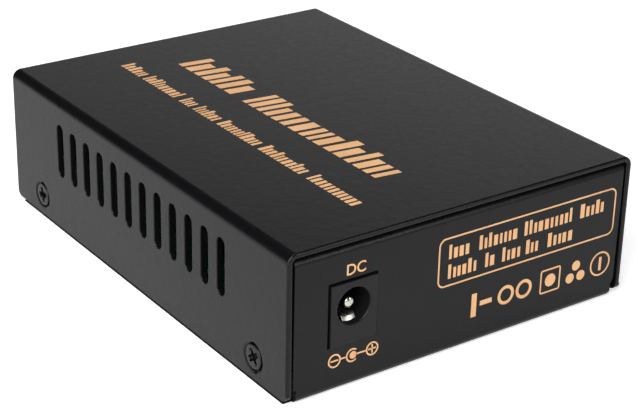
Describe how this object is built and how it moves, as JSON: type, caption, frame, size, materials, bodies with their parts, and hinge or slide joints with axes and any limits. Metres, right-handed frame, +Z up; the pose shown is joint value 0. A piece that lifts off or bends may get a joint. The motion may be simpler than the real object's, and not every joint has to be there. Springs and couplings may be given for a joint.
{
  "type": "fibre media converter",
  "caption": "Small black folded-steel box with vent slots in both walls, a round power jack behind, and a fibre module slot, a copper data socket and lamps in front.",
  "frame": {"origin": "centre of the underside, on the surface that the case stands on", "axes": "+Z up, -Y towards the data sockets in front, +Y towards the power jack behind, and +X towards the wall on the power jack's side"},
  "size_m": [0.0716, 0.094, 0.0269],
  "materials": {
    "case_paint": "fine-texture black powder coat on folded steel",
    "black_screw": "black oxide on steel, satin",
    "plated_steel": "bright zinc or tin plate, satin",
    "circuit_board": "glass-epoxy laminate with green solder mask",
    "black_moulding": "moulded black thermoplastic, fine eroded surface",
    "jack_pin": "nickel plate on brass",
    "spring_metal": "tin-plated phosphor bronze strip",
    "gold_contact": "gold flash on phosphor bronze",
    "link_window": "clear green light guide",
    "activity_window": "clear amber light guide",
    "light_guide": "moulded clear acrylic, polished",
    "lamp": "pale moulded surface-mount lamp",
    "chip_moulding": "moulded epoxy, laser-marking grey-black",
    "gap_pad": "soft heat-conducting silicone pad",
    "black_anodised": "black anodised extrusion",
    "bare_aluminium": "drawn can, satin",
    "ferrite": "pressed ferrite, matt",
    "capacitor_ceramic": "fired ceramic with plated ends"
  },
  "bodies": {
    "root": {"top_cover": "case_paint", "base_chassis": "case_paint", "cover_screws": "black_screw", "board_standoffs": "plated_steel", "board_screws": "plated_steel", "main_board": "circuit_board", "dc_jack_housing": "black_moulding", "dc_jack_centre_pin": "jack_pin", "dc_jack_spring_contact": "spring_metal", "dc_jack_switch_contact": "spring_metal", "rj45_shield": "plated_steel", "rj45_housing": "black_moulding", "rj45_contacts": "gold_contact", "rj45_link_window": "link_window", "rj45_activity_window": "activity_window", "sfp_cage": "plated_steel", "sfp_spring_collar": "spring_metal", "sfp_connector": "black_moulding", "sfp_connector_contacts": "gold_contact", "light_guide": "light_guide", "indicator_leds": "lamp", "phy_chip": "chip_moulding", "thermal_pad": "gap_pad", "heatsink": "black_anodised", "bridge_chip": "chip_moulding", "flash_memory": "chip_moulding", "regulator_chips": "chip_moulding", "chip_leads": "plated_steel", "clock_crystal": "plated_steel", "power_inductors": "ferrite", "capacitor_bases": "black_moulding", "capacitor_cans": "bare_aluminium", "ceramic_capacitors": "capacitor_ceramic"}
  },
  "joints": []
}
